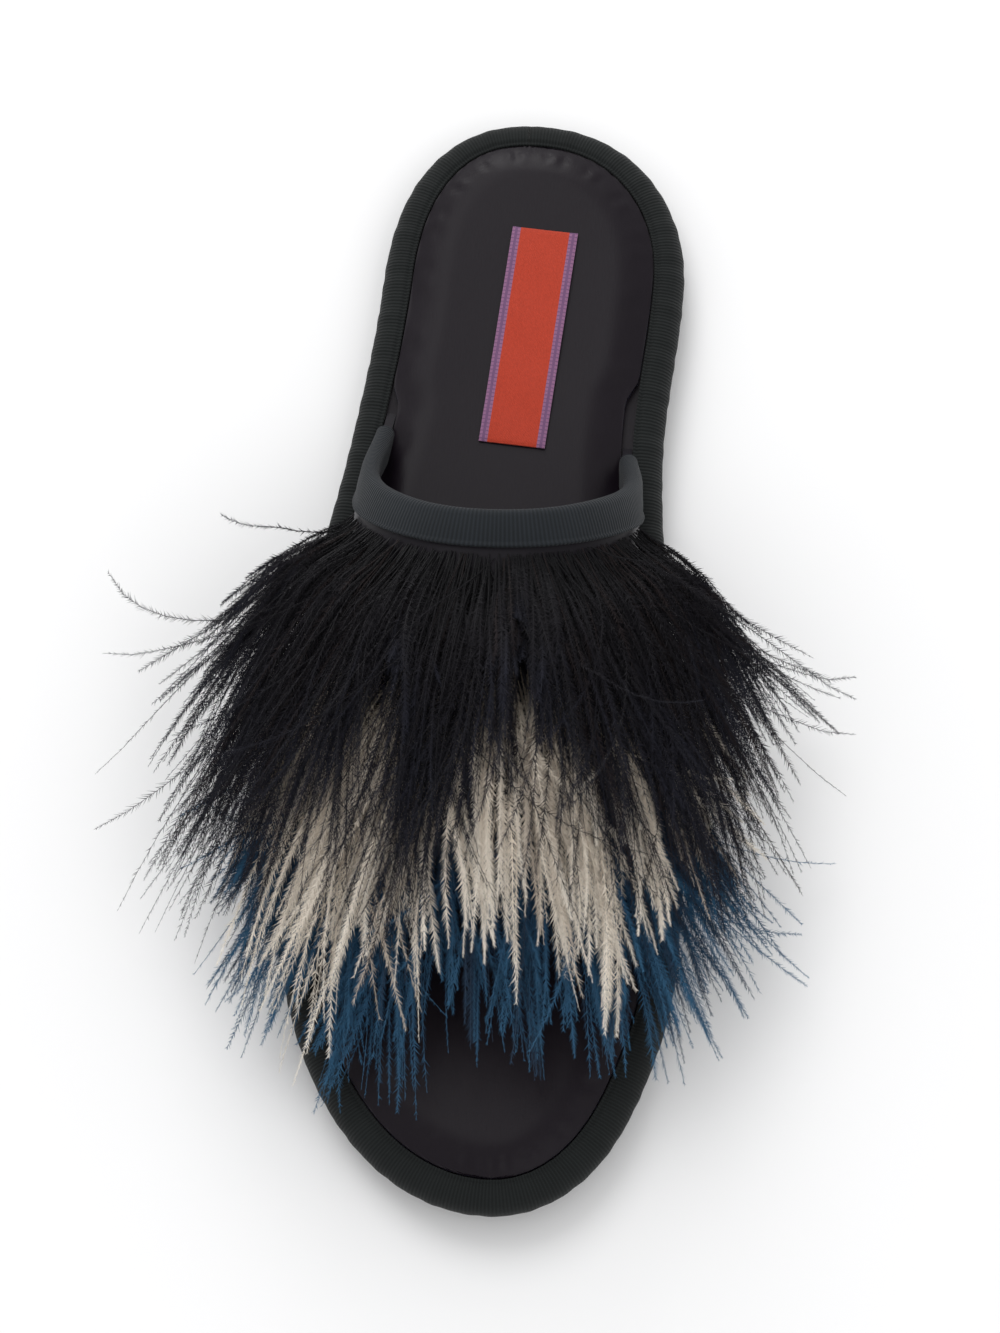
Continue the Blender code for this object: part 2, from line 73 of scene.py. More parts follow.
# Half widths by share of the length: lateral and medial, as shares of the heel's or ball's width
soleShares = {
    "along": (0.00, 0.16, 0.31, 0.48, 0.66, 0.80, 0.90, 1.00),
    "lateral": (0.443, 0.462, 0.548, 0.510, 0.580, 0.515, 0.495, 0.490),
    "medial": (0.531, 0.528, 0.473, 0.378, 0.428, 0.415, 0.402, 0.420),
    "of": ("heelWidth",) * 3 + ("ballWidth",) * 5,
}
vamp = {
    "wall": 2 * mm,
    "inset": sole["topLip"] + gap,
    "instep": 45 * mm,
    "bulge": 2.5 * mm,
    "foot": vampLow.z,
    "throat": 118 * mm,  # distances from the heel's end
    "throatLateral": 73 * mm,
    "throatMedial": 81 * mm,
    "toplineRoundness": 0.72,
    "toeEdge": 192 * mm,
    "toeEdgeSides": 12 * mm,
    "foldDepth": 6.5 * mm,
    "toeFoldDepth": 5 * mm,
    "foldInner": 4 * mm,
    "foldThickness": 0.8 * mm,
    "foldClear": 4 * mm,
}
vampShares = {
    "along": (0.27, 0.45, 0.60, 0.74, 0.85),
    "crest": (1.04, 1.00, 0.82, 0.61, 0.50),
    "lean": (0.12, 0.12, 0.10, 0.04, 0.00),
    "fullness": (2.10, 2.15, 2.30, 2.50, 2.60),
}


def smoothStep(low, high, at):
    t = np.clip((at - low) / (high - low), 0, 1)
    return t * t * (3 - 2 * t)


def throughShares(table, column, at):
    # A cubic through the table's points, whose slope at each is that of its neighbours
    xs = np.array(table["along"])
    ys = np.array(table[column])
    at = np.clip(at, xs[0], xs[-1])
    slopes = np.gradient(ys, xs)
    i = np.clip(np.searchsorted(xs, at) - 1, 0, len(xs) - 2)
    width = xs[i + 1] - xs[i]
    t = (at - xs[i]) / width
    start = ys[i] * (2 * t**3 - 3 * t**2 + 1) + slopes[i] * width * (t**3 - 2 * t**2 + t)
    return start + ys[i + 1] * (3 * t**2 - 2 * t**3) + slopes[i + 1] * width * (t**3 - t**2)


def fromHeel(distance):
    return sole["length"] / 2 - distance


def roundedEnd(distance, length, fullness):
    # A superellipse that rises from 0 at the sole's end to 1 a length further in
    t = np.clip(1 - distance / length, 0, 1)
    return (1 - t**fullness) ** (1 / fullness)


def halfWidth(side, share):
    # The table's curve, rounded off at the heel and at the toe
    widths = [value * sole[of] for value, of in zip(soleShares[side], soleShares["of"])]
    curve = throughShares({"along": soleShares["along"], side: widths}, side, share)
    heel = roundedEnd(share, sole["heelRound"], sole["heelFullness"])
    return curve * heel * roundedEnd(1 - share, sole["toeRound"], sole["toeFullness"])


def outlineRing(steps):
    # The core's edge from above: shares spaced by a cosine, down the lateral side, up the medial one
    share = (1 - np.cos(np.linspace(0, pi, steps + 1))) / 2
    y = fromHeel(share * sole["length"])
    lateral = np.stack([-halfWidth("lateral", share), y], 1)
    medial = np.stack([halfWidth("medial", share), y], 1)
    return np.concatenate([lateral, medial[-2:0:-1]])


def evenRing(count):
    # The outline again, with its points an even distance apart
    ring = outlineRing(400)
    closed = np.concatenate([ring, ring[:1]])
    travel = np.concatenate([[0], np.cumsum(np.linalg.norm(np.diff(closed, axis=0), axis=1))])
    at = np.linspace(0, travel[-1], count, endpoint=False)
    return np.stack([np.interp(at, travel, closed[:, k]) for k in range(2)], 1), travel[-1]


def insetRing(ring, inset):
    # Each point moved square to the line through its neighbours, towards the middle
    along = np.roll(ring, -1, 0) - np.roll(ring, 1, 0)
    along /= np.linalg.norm(along, axis=1, keepdims=True)
    inwards = np.stack([-along[:, 1], along[:, 0]], 1)
    return ring + inwards * np.broadcast_to(inset, len(ring))[:, None]


def toeRise(y):
    share = 0.5 - y / sole["length"]
    start = sole["springStart"]
    return sole["toeSpring"] * np.clip((share - start) / (1 - start), 0, None) ** 2


def topline(v):
    # The throat's distance from the heel: its two ends, and a sine-shaped curve forward between them
    ends = vamp["throatLateral"] + (vamp["throatMedial"] - vamp["throatLateral"]) * v
    return ends + (vamp["throat"] - ends) * np.sin(pi * np.clip(v, 0, 1)) ** vamp["toplineRoundness"]


def toeEdge(v):
    return vamp["toeEdge"] + vamp["toeEdgeSides"] * (1 - np.sin(pi * np.clip(v, 0, 1)))


vampRing = insetRing(outlineRing(26), vamp["inset"])
vampLateral, vampMedial = vampRing[:27], np.concatenate([vampRing[:1], vampRing[:25:-1]])


def vampPoint(distance, v):
    # A superellipse arch over the foot from lateral foot (v 0) to medial foot (v 1), leaning and bulging
    distance, v = np.broadcast_arrays(distance, v)
    y = fromHeel(distance)
    lateral = np.interp(-y, -vampLateral[:, 1], vampLateral[:, 0])
    medial = np.interp(-y, -vampMedial[:, 1], vampMedial[:, 0])
    share = distance / sole["length"]
    power = 2 / throughShares(vampShares, "fullness", share)
    crest = vamp["instep"] * throughShares(vampShares, "crest", share)
    angle = pi * (1 - v)
    across = np.sign(np.cos(angle)) * np.abs(np.cos(angle)) ** power
    up = np.abs(np.sin(angle)) ** power
    lean = throughShares(vampShares, "lean", share) * up
    bulge = vamp["bulge"] * np.sin(pi * up) ** 2 * np.sign(across)
    x = (lateral + medial) / 2 + (medial - lateral) / 2 * (across + lean) + bulge
    return np.stack([x, y, vamp["foot"] + crest * up + toeRise(y)], -1)


def vampNormal(distance, v):
    step, turn = 0.5 * mm, 0.002
    ahead = vampPoint(distance + step, v) - vampPoint(distance - step, v)
    around = vampPoint(distance, np.clip(v + turn, 0, 1)) - vampPoint(distance, np.clip(v - turn, 0, 1))
    normal = np.cross(ahead, around)
    return normal / np.linalg.norm(normal, axis=-1, keepdims=True)


def besideEdge(edge, v, depth):
    # The place on the vamp a given depth from its free edge, stepped square to that edge
    nudge = 0.002
    point = vampPoint(edge(v), v)
    forward = (vampPoint(edge(v) + nudge * sole["length"], v) - point) / (nudge * sole["length"])
    around = (vampPoint(edge(v), v + nudge) - vampPoint(edge(v), v - nudge)) / (2 * nudge)
    along = vampPoint(edge(v + nudge), v + nudge) - vampPoint(edge(v - nudge), v - nudge)
    along /= np.linalg.norm(along, axis=-1, keepdims=True)
    square = np.cross(vampNormal(edge(v), v), along)
    square *= np.sign((square * forward).sum(-1, keepdims=True))
    shares = np.einsum("...ij,...j->...i", np.linalg.pinv(np.stack([forward, around], -1)), square * depth)
    return edge(v) + shares[..., 0], v + shares[..., 1]


def newMesh(name, points, blocks, uv=None, smooth=True, solids=None):
    # blocks are arrays of faces, each with its own number of corners; uv is one pair for each point.
    # Where the first blocks, which enclose a volume, enclose a negative one, all faces are turned round
    volume = sum(
        (points[block[:, 0]] * np.cross(points[block[:, k]], points[block[:, k + 1]])).sum()
        for block in blocks[:solids] for k in range(1, block.shape[1] - 1)
    )
    if volume < 0:
        blocks = [block[:, ::-1] for block in blocks]
    corners = np.concatenate([block.ravel() for block in blocks]).astype(np.int32)
    sides = np.concatenate([np.full(len(block), block.shape[1]) for block in blocks])
    starts = np.concatenate([[0], np.cumsum(sides)[:-1]]).astype(np.int32)
    mesh = bpy.data.meshes.new(name)
    mesh.vertices.add(len(points))
    mesh.vertices.foreach_set("co", np.asarray(points, np.float32).ravel())
    mesh.loops.add(len(corners))
    mesh.loops.foreach_set("vertex_index", corners)
    mesh.polygons.add(len(starts))
    mesh.polygons.foreach_set("loop_start", starts)
    if uv is not None:
        layer = mesh.uv_layers.new(name="UVMap")
        layer.uv.foreach_set("vector", np.asarray(uv, np.float32)[corners].ravel())
    mesh.update(calc_edges=True)
    mesh.validate()
    if smooth:
        mesh.shade_smooth()
    obj = bpy.data.objects.new(name, mesh)
    bpy.context.scene.collection.objects.link(obj)
    return obj


def gridFaces(rows, columns, closedRows=False, closedColumns=False):
    i = np.arange(rows if closedRows else rows - 1)[:, None]
    j = np.arange(columns if closedColumns else columns - 1)[None, :]
    a = i * columns + j
    b = i * columns + (j + 1) % columns
    c = ((i + 1) % rows) * columns + (j + 1) % columns
    d = ((i + 1) % rows) * columns + j
    return np.stack(np.broadcast_arrays(a, b, c, d), -1).reshape(-1, 4)


def tube(name, loops, uv=None):
    # Closed profiles carried along a path: loops[i, j] is point j of the profile at station i
    rows, columns = loops.shape[:2]
    faces = gridFaces(rows, columns, True, True)
    flatUv = None if uv is None else uv.reshape(-1, 2)
    return newMesh(name, loops.reshape(-1, 3), [faces], flatUv)


def slab(name, top, bottom, uv=None):
    # A solid between two surfaces on one grid, with a rim of quads round its edge
    rows, columns = top.shape[:2]
    count = rows * columns
    faces = gridFaces(rows, columns)
    rim = np.concatenate([
        np.arange(columns),
        np.arange(1, rows) * columns + columns - 1,
        (rows - 1) * columns + np.arange(columns - 2, -1, -1),
        np.arange(rows - 2, 0, -1) * columns,
    ])
    after = np.roll(rim, -1)
    band = np.stack([after, rim, rim + count, after + count], 1)
    points = np.concatenate([top.reshape(-1, 3), bottom.reshape(-1, 3)])
    both = None if uv is None else np.concatenate([uv.reshape(-1, 2)] * 2)
    obj = newMesh(name, points, [faces, faces[:, ::-1] + count, band], both)
    obj.data.set_sharp_from_angle(angle=radians(50))
    return obj


def finishPiece(obj, material, slot, *nodes):
    obj.data.materials.append(material)
    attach(obj, "root")
    if nodes:
        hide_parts(*nodes)
    return obj


# Materials


class Finish:
    # A Principled material and short ways to add nodes to it
    def __init__(self, name, colour, roughness, **sockets):
        self.material = bpy.data.materials.new(name)
        self.material.use_nodes = True
        self.nodes = self.material.node_tree.nodes
        self.links = self.material.node_tree.links
        self.shader = self.nodes["Principled BSDF"]
        self.shader.inputs["Base Color"].default_value = (*colour, 1)
        self.shader.inputs["Roughness"].default_value = roughness
        for socket, value in sockets.items():
            self.shader.inputs[socket.replace("_", " ")].default_value = value

    def node(self, kind, inputs=(), **settings):
        made = self.nodes.new(kind)
        for key, value in settings.items():
            setattr(made, key, value)
        for socket, value in dict(inputs).items():
            if isinstance(value, bpy.types.NodeSocket):
                self.links.new(value, made.inputs[socket])
            else:
                made.inputs[socket].default_value = value
        return made

    def maths(self, operation, a, b=0.0, c=0.0):
        return self.node("ShaderNodeMath", {0: a, 1: b, 2: c}, operation=operation).outputs[0]

    def uv(self):
        place = self.node("ShaderNodeTexCoord").outputs["UV"]
        split = self.node("ShaderNodeSeparateXYZ", {0: place})
        return split.outputs[0], split.outputs[1]

    def objectPlace(self):
        return self.node("ShaderNodeTexCoord").outputs["Object"]

    def noise(self, place, scale, detail=2.0):
        made = self.node("ShaderNodeTexNoise", {"Vector": place, "Scale": scale, "Detail": detail})
        return made.outputs["Fac"]

    def mix(self, share, a, b):
        made = self.node("ShaderNodeMix", data_type="RGBA")
        for index, value in ((0, share), (6, a), (7, b)):
            if isinstance(value, bpy.types.NodeSocket):
                self.links.new(value, made.inputs[index])
            else:
                made.inputs[index].default_value = value if index == 0 else (*value, 1)
        return made.outputs[2]

    def colour(self, socket):
        self.links.new(socket, self.shader.inputs["Base Color"])

    def rough(self, socket):
        self.links.new(socket, self.shader.inputs["Roughness"])

    def bump(self, height, distance, strength=1.0):
        made = self.node("ShaderNodeBump", {"Height": height, "Distance": distance, "Strength": strength})
        before = self.shader.inputs["Normal"].links
        if before:
            self.links.new(before[0].from_socket, made.inputs["Normal"])
        self.links.new(made.outputs[0], self.shader.inputs["Normal"])


def makeGrosgrain(name, dark, light, pitch):
    # Ribs run across the ribbon: a sine of the distance along it, with a fine thread noise on top. The same
    # sine also lightens the crests and darkens the grooves in the colour, a painted shading of the ribs.
    finish = Finish(name, light, 0.78, Specular_IOR_Level=0.16, Sheen_Weight=0.06, Sheen_Roughness=0.5)
    along, across = finish.uv()
    wave = finish.maths("SINE", finish.maths("MULTIPLY", along, 2 * pi / pitch))
    ribs = finish.maths("MULTIPLY_ADD", wave, 0.5, 0.5)
    place = finish.objectPlace()
    worn = finish.noise(place, 90.0, 4.0)
    threads = finish.noise(place, 2600.0, 2.0)
    # The rib sine in the tone is painted light on the crests and painted shade in the grooves; the cloudy noise
    # adds random tone.
    tone = finish.maths("MULTIPLY_ADD", ribs, 0.6, finish.maths("MULTIPLY", worn, 0.45))
    finish.colour(finish.mix(tone, dark, light))
    finish.bump(ribs, 0.12 * mm)
    finish.bump(threads, 0.05 * mm, 0.5)
    return finish.material


def makeSatin(name, dark, light, roughness):
    # Warp-faced weave: threads run along the shoe, so the fine noise is stretched that way
    finish = Finish(
        name, dark, roughness, Specular_IOR_Level=0.14, Sheen_Weight=0.03, Sheen_Roughness=0.35,
        Sheen_Tint=(0.55, 0.6, 1.0, 1.0), Anisotropic=0.4,
    )
    place = finish.objectPlace()
    stretched = finish.node("ShaderNodeMapping", {"Vector": place, "Scale": (1.0, 0.12, 1.0)}).outputs[0]
    threads = finish.noise(stretched, 3800.0, 2.0)
    cloudy = finish.noise(place, 35.0, 3.0)
    tone = finish.maths("MULTIPLY_ADD", threads, 0.5, finish.maths("MULTIPLY", cloudy, 0.5))
    finish.colour(finish.mix(tone, dark, light))
    finish.rough(finish.maths("MULTIPLY_ADD", cloudy, 0.12, roughness - 0.06))
    finish.bump(threads, 0.04 * mm, 0.6)
    finish.bump(cloudy, 0.25 * mm, 0.5)
    return finish.material


def makeOutsoleLeather():
    finish = Finish("outsoleLeather", (0.02, 0.02, 0.021), 0.62, Specular_IOR_Level=0.35)
    place = finish.objectPlace()
    grain = finish.node("ShaderNodeTexVoronoi", {"Vector": place, "Scale": 900.0}).outputs["Distance"]
    cloudy = finish.noise(place, 60.0, 4.0)
    finish.colour(finish.mix(cloudy, (0.014, 0.014, 0.015), (0.03, 0.029, 0.029)))
    finish.rough(finish.maths("MULTIPLY_ADD", cloudy, 0.2, 0.5))
    finish.bump(grain, 0.1 * mm, 0.5)
    finish.bump(cloudy, 0.3 * mm, 0.4)
    return finish.material


def makeFeather(name, rootTone, midTone, tipTone, otherTone, share):
    # The first coordinate runs from a strand's root to its tip, the second differs from strand to strand
    finish = Finish(name, midTone, 0.65, Specular_IOR_Level=0.12, Sheen_Weight=0.04, Sheen_Roughness=0.6)
    along, which = finish.uv()
    lower = finish.mix(finish.maths("MULTIPLY", along, 2.5), rootTone, midTone)
    upper = finish.mix(finish.maths("MULTIPLY_ADD", along, 2.0, -1.0), lower, tipTone)
    # Strands below the share take the other tone; on the black feathers that brown tone is a painted glint.
    other = finish.maths("MULTIPLY", finish.maths("LESS_THAN", which, share), 0.75)
    mixed = finish.mix(other, upper, otherTone)
    # Each strand is darkened by a random amount towards a third of the middle tone, painted shade among the
    # strands.
    flicker = finish.maths("FRACT", finish.maths("MULTIPLY", which, 37.0))
    shaded = finish.mix(finish.maths("MULTIPLY", flicker, 0.35), mixed, tuple(c * 0.35 for c in midTone))
    finish.colour(shaded)
    return finish.material


satin = makeSatin("satin", (0.0050, 0.0032, 0.0052), (0.0095, 0.0065, 0.0105), 0.40)
vampSatin = makeSatin("vampSatin", (0.005, 0.004, 0.006), (0.010, 0.008, 0.012), 0.45)
edgeGrosgrain = makeGrosgrain("edgeGrosgrain", (0.0030, 0.0037, 0.0038), (0.0115, 0.0140, 0.0140), 0.8 * mm)
throatGrosgrain = makeGrosgrain("throatGrosgrain", (0.006, 0.0075, 0.0090), (0.017, 0.021, 0.026), 0.8 * mm)
outsoleLeather = makeOutsoleLeather()
# The black feathers' brown other tone is a painted glint on a share of the strands.
blackFeather = makeFeather(
    "blackFeather",
    (0.003, 0.003, 0.004), (0.006, 0.005, 0.008), (0.013, 0.014, 0.024), (0.014, 0.008, 0.008), 0.2
)
creamFeather = makeFeather(
    "creamFeather", (0.45, 0.39, 0.32), (0.82, 0.73, 0.62), (0.84, 0.78, 0.69), (0.52, 0.44, 0.36), 0.25
)
blueFeather = makeFeather(
    "blueFeather", (0.008, 0.016, 0.03), (0.018, 0.062, 0.125), (0.035, 0.12, 0.22), (0.016, 0.022, 0.04), 0.3
)
print("materials made")


# Sole, ribbon and insole


def makeOutsole():
    # Rings stacked from the floor up, with a rounded lower edge, closed by rungs across each end ring
    ring = outlineRing(120)
    edge = 0.8 * mm
    levels = ((edge, 0), (0.3 * edge, 0.3 * edge), (0, edge), (0, sole["outsoleThickness"]))
    rings = []
    for inset, height in levels:
        flat = insetRing(ring, sole["outsoleInset"] + inset)
        rings.append(np.column_stack([flat, height + toeRise(flat[:, 1])]))
    count = len(ring)
    walls = gridFaces(len(rings), count, False, True)
    half = count // 2
    i = np.arange(1, half - 1)
    rungs = np.stack([i, i + 1, count - i - 1, count - i], 1)
    ends = np.array([[0, 1, count - 1], [half, half + 1, half - 1]])
    top = (len(rings) - 1) * count
    blocks = [walls, rungs[:, ::-1], ends[:, ::-1], rungs + top, ends + top]
    obj = newMesh("outsoleSheet", np.concatenate(rings), blocks)
    obj.data.set_sharp_from_angle(angle=radians(50))
    return finishPiece(obj, outsoleLeather, "outsole_black", "outsole")


def makeEdgeRibbon():
    # A closed C profile carried round the outline: out along the core's edge and back on its own inner face
    count = 900
    ring, perimeter = evenRing(count)
    radius = (sole["coreTop"] - sole["coreBottom"]) / 2
    middle = sole["coreBottom"] + radius
    thick = sole["ribbonThickness"]
    turn = np.linspace(-pi / 2, pi / 2, 11)
    along = np.arange(count) / count * perimeter
    pucker = 0.05 * mm * np.sin(along / (7 * mm) * 2 * pi) + 0.04 * mm * np.sin(along / (4.3 * mm) * 2 * pi + 1)

    def wrapped(offset, topLip, bottomLip, turns):
        inset = radius - (radius + offset) * np.cos(turns)
        height = middle + (radius + offset) * np.sin(turns)
        return (
            np.concatenate([[bottomLip, (bottomLip + radius) / 2], inset, topLip]),
            np.concatenate([[height[0]] * 2, height, [height[-1]] * len(topLip)]),
        )

    lip = sole["topLip"]
    lands = np.array([0.72, 0.80, 0.86, 0.93, 0.985]) * lip
    outInset, outHeight = wrapped(gap + thick, lands, sole["bottomLip"], turn)
    outHeight[-5:] += np.array([0.02, -0.22, -0.28, 0.16, 0.02]) * mm  # stitched groove, then a raised bead
    inInset, inHeight = wrapped(gap, np.array([0.9 * lip, lip]), sole["bottomLip"], turn)
    insets = np.concatenate([outInset, inInset[::-1]])
    heights = np.concatenate([outHeight, inHeight[::-1]])
    shared = len(outInset)
    loops = []
    for k, (inset, height) in enumerate(zip(insets, heights)):
        swell = pucker if 2 <= k < shared else 0  # the outer face alone is puckered
        flat = insetRing(ring, inset - swell * (1 if 3 <= k <= 12 else 0))
        z = height + toeRise(flat[:, 1]) + (swell if 10 <= k < shared else 0)
        loops.append(np.column_stack([flat, np.broadcast_to(z, count)]))
    loops = np.stack(loops, 1)
    across = np.concatenate([[0], np.cumsum(np.hypot(np.diff(insets), np.diff(heights)))])
    uv = np.stack(np.broadcast_arrays(along[:, None], across[None, :]), -1)
    obj = tube("edgeRibbonBinding", loops, uv)
    return finishPiece(obj, edgeGrosgrain, "grosgrain_black", "edge_ribbon")


def padInset():
    # How far the pad's edge lies inside the outline, deeper where the vamp stands beside it
    ring = outlineRing(200)
    y = ring[:, 1]
    back = fromHeel(min(vamp["throatLateral"], vamp["throatMedial"]))
    front = fromHeel(vamp["toeEdge"] + vamp["toeEdgeSides"])
    beside = smoothStep(back + 8 * mm, back + 2 * mm, y) * smoothStep(front - 8 * mm, front - 2 * mm, y)
    near = sole["topLip"] + gap
    return ring, near + (vamp["wall"] + gap) * beside


def makeInsole():
    # A pillow: its height over the edge follows a sine of the distance from the edge, with small puckers there
    ring, inset = padInset()
    ring = insetRing(ring, inset)
    half = len(ring) // 2
    lateral, medial = ring[: half + 1], np.concatenate([ring[:1], ring[: half - 1: -1]])
    rows, columns = 170, 61
    y = ring[0, 1] + (ring[half, 1] - ring[0, 1]) * (1 - np.cos(np.linspace(0, pi, rows))) / 2
    left = np.interp(-y, -lateral[:, 1], lateral[:, 0])
    right = np.interp(-y, -medial[:, 1], medial[:, 0])
    s = (1 - np.cos(np.linspace(0, pi, columns))) / 2
    x = left[:, None] * (1 - s) + right[:, None] * s
    y = np.broadcast_to(y[:, None], x.shape)
    away = np.hypot(x[..., None] - ring[:, 0], y[..., None] - ring[:, 1])
    nearest, distance = away.argmin(-1), away.min(-1)
    share = np.clip(distance / sole["padCrown"], 0, 1)
    swell = np.sin(share * pi / 2) ** 0.8
    angle = nearest / len(ring) * 2 * pi
    puckers = np.sin(angle * 95) * 0.10 + np.sin(angle * 61 + 2) * 0.12
    puckers = puckers * mm * np.sin(np.clip(share * 1.4, 0, 1) * pi) ** 2
    dimples = 0.25 * mm * np.sin(x * 90 + 1) * np.sin(y * 60) * smoothStep(0.6, 1.0, share)
    base = sole["coreTop"] + gap + toeRise(y)
    z = base + sole["padEdge"] + (sole["padThickness"] - sole["padEdge"]) * swell + puckers + dimples
    top, bottom = np.stack([x, y, z], -1), np.stack([x, y, base], -1)
    uv = np.stack([x, y], -1)
    obj = slab("insolePad", top, bottom, uv)
    return finishPiece(obj, satin, "satin_black", "insole")


makeOutsole()
makeEdgeRibbon()
makeInsole()
print("sole, ribbon and insole made")


# Vamp and its two ribbons


def makeVamp():
    # The arch's outer face and, a wall's thickness inside it, its lining, whose foot stands level
    u, v = np.meshgrid(np.linspace(0, 1, 41), np.linspace(0, 1, 101), indexing="ij")
    distance = topline(v) * (1 - u) + toeEdge(v) * u
    ripple = 0.25 * mm * np.sin(u * 9 + v * 4) * np.sin(pi * v) * np.sin(pi * u)
    normal = vampNormal(distance, v)
    outside = vampPoint(distance, v) + normal * ripple[..., None]
    inside = outside - normal * vamp["wall"]
    inside[:, [0, -1], 2] = outside[:, [0, -1], 2]
    uv = np.stack([distance, v * 0.12], -1)
    obj = slab("vampBand", outside, inside, uv)
    return finishPiece(obj, vampSatin, "satin_black", "vamp")


def makeFold(name, node, edge, inwards, depth):
    # Ribbon folded over a free edge: a closed U profile, square to the edge all the way along
    share = edge(0.5) / sole["length"]
    rise = vamp["foldClear"] / (vamp["instep"] * throughShares(vampShares, "crest", share))
    first = np.arcsin(rise ** (throughShares(vampShares, "fullness", share) / 2)) / pi
    v = np.linspace(first, 1 - first, 220)
    reach = vamp["wall"] / 2 + gap
    thick = vamp["foldThickness"]
    turn = np.linspace(pi / 2, -pi / 2, 9)
    lands = np.array([0.985, 0.93, 0.86, 0.80, 0.5])
    ridge = np.array([0.0, 0.14, -0.20, -0.16, 0.0]) * mm
    outBack = np.concatenate([-depth * lands, (reach + thick) * np.cos(turn) + gap, [-vamp["foldInner"]]])
    outOff = np.concatenate([reach + thick + ridge, (reach + thick) * np.sin(turn), [-reach - thick]])
    inBack = np.concatenate([[-depth], reach * np.cos(turn) + gap, [-vamp["foldInner"]]])
    inOff = np.concatenate([[reach], reach * np.sin(turn), [-reach]])
    backs = np.concatenate([outBack, inBack[::-1]])
    offs = np.concatenate([outOff, inOff[::-1]])
    normal = vampNormal(edge(v), v)
    loops = []
    for back, off in zip(backs, offs):
        distance, across = besideEdge(edge, v, -inwards * back)
        across = np.clip(across, first, 1 - first)
        loops.append(vampPoint(distance, across) + normal * (off - vamp["wall"] / 2))
    loops = np.stack(loops, 1)
    middle = loops[:, len(lands) + 4]
    travel = np.concatenate([[0], np.cumsum(np.linalg.norm(np.diff(middle, axis=0), axis=1))])
    around = np.concatenate([[0], np.cumsum(np.hypot(np.diff(backs), np.diff(offs)))])
    uv = np.stack(np.broadcast_arrays(travel[:, None], around[None, :]), -1)
    rows, columns = loops.shape[:2]
    faces = gridFaces(rows, columns, False, True)
    half = columns // 2
    i = np.arange(half - 1)
    cap = np.stack([i, i + 1, columns - i - 2, columns - i - 1], 1)
    blocks = [faces, cap[:, ::-1], cap + (rows - 1) * columns]
    obj = newMesh(name, loops.reshape(-1, 3), blocks, uv.reshape(-1, 2))
    obj.data.set_sharp_from_angle(angle=radians(60))
    return finishPiece(obj, throatGrosgrain, "grosgrain_black", node)


makeVamp()
makeFold("throatBinding", "throat_ribbon", topline, 1, vamp["foldDepth"])
makeFold("toeBinding", "toe_ribbon", toeEdge, -1, vamp["toeFoldDepth"])
print("vamp and its ribbons made")


# Woven label, bare

label = {
    "length": 54 * mm,
    "width": 15 * mm,
    "thickness": 0.5 * mm,
    "fromHeel": 55.5 * mm,
    "shift": 2.0 * mm,
    "turn": radians(-6.4),
    "border": 1.9 * mm,
    "ladderPitch": 0.95 * mm,
}


def makeLabelCloth():
    # Orange between two lilac borders. Each border is crossed by fine rungs, a square wave along the label
    finish = Finish("labelCloth", (0.72, 0.09, 0.015), 0.72, Specular_IOR_Level=0.25, Sheen_Weight=0.1)
    across, along = finish.uv()
    fromMiddle = finish.maths("ABSOLUTE", across)
    inner = label["width"] / 2 - label["border"]
    border = finish.maths("GREATER_THAN", fromMiddle, inner)
    rung = finish.maths("SINE", finish.maths("MULTIPLY", along, 2 * pi / label["ladderPitch"]))
    rung = finish.maths("MULTIPLY_ADD", rung, 0.5, 0.5)
    inBorder = finish.maths("DIVIDE", finish.maths("SUBTRACT", fromMiddle, inner), label["border"])
    line = finish.maths("COMPARE", inBorder, 0.5, 0.16)
    threadLine = finish.maths("MAXIMUM", line, finish.maths("GREATER_THAN", rung, 0.8))
    mark = finish.maths("MULTIPLY", threadLine, 0.75)
    lilac = finish.mix(mark, (0.28, 0.13, 0.24), (0.13, 0.06, 0.15))
    place = finish.objectPlace()
    threads = finish.noise(place, 2400.0, 2.0)
    orange = finish.mix(threads, (0.36, 0.030, 0.010), (0.56, 0.052, 0.020))
    finish.colour(finish.mix(border, orange, lilac))
    weave = finish.maths("SINE", finish.maths("MULTIPLY", along, 2 * pi / (0.34 * mm)))
    warp = finish.maths("SINE", finish.maths("MULTIPLY", across, 2 * pi / (0.42 * mm)))
    finish.bump(finish.maths("MULTIPLY", weave, warp), 0.06 * mm)
    finish.bump(threads, 0.05 * mm, 0.5)
    return finish.material


def makeLabel():
    # A thin plate, its long edges a little raised and its cloth slightly wavy
    u, w = np.meshgrid(np.linspace(-0.5, 0.5, 33), np.linspace(-0.5, 0.5, 81), indexing="ij")
    x, y = u * label["width"], w * label["length"]
    lift = 0.10 * mm * smoothStep(0.40, 0.5, np.abs(u)) + 0.08 * mm * np.sin(w * 23 + u * 3)
    edge = smoothStep(0.5, 0.485, np.abs(u)) * smoothStep(0.5, 0.496, np.abs(w))
    padTop = sole["coreTop"] + gap + sole["padThickness"]
    top = padTop + gap + label["thickness"] * (0.6 + 0.4 * edge) + lift
    bottom = np.full(x.shape, padTop + gap)
    c, s = cos(label["turn"]), sin(label["turn"])
    px = label["shift"] + c * x - s * y
    py = fromHeel(label["fromHeel"]) + s * x + c * y
    obj = slab(
        "wovenLabel", np.stack([px, py, top], -1)[::-1], np.stack([px, py, bottom], -1)[::-1],
        np.stack([x, y], -1)[::-1],
    )
    return finishPiece(obj, makeLabelCloth(), "label_orange", "label")


makeLabel()
print("label made")


# Feathers

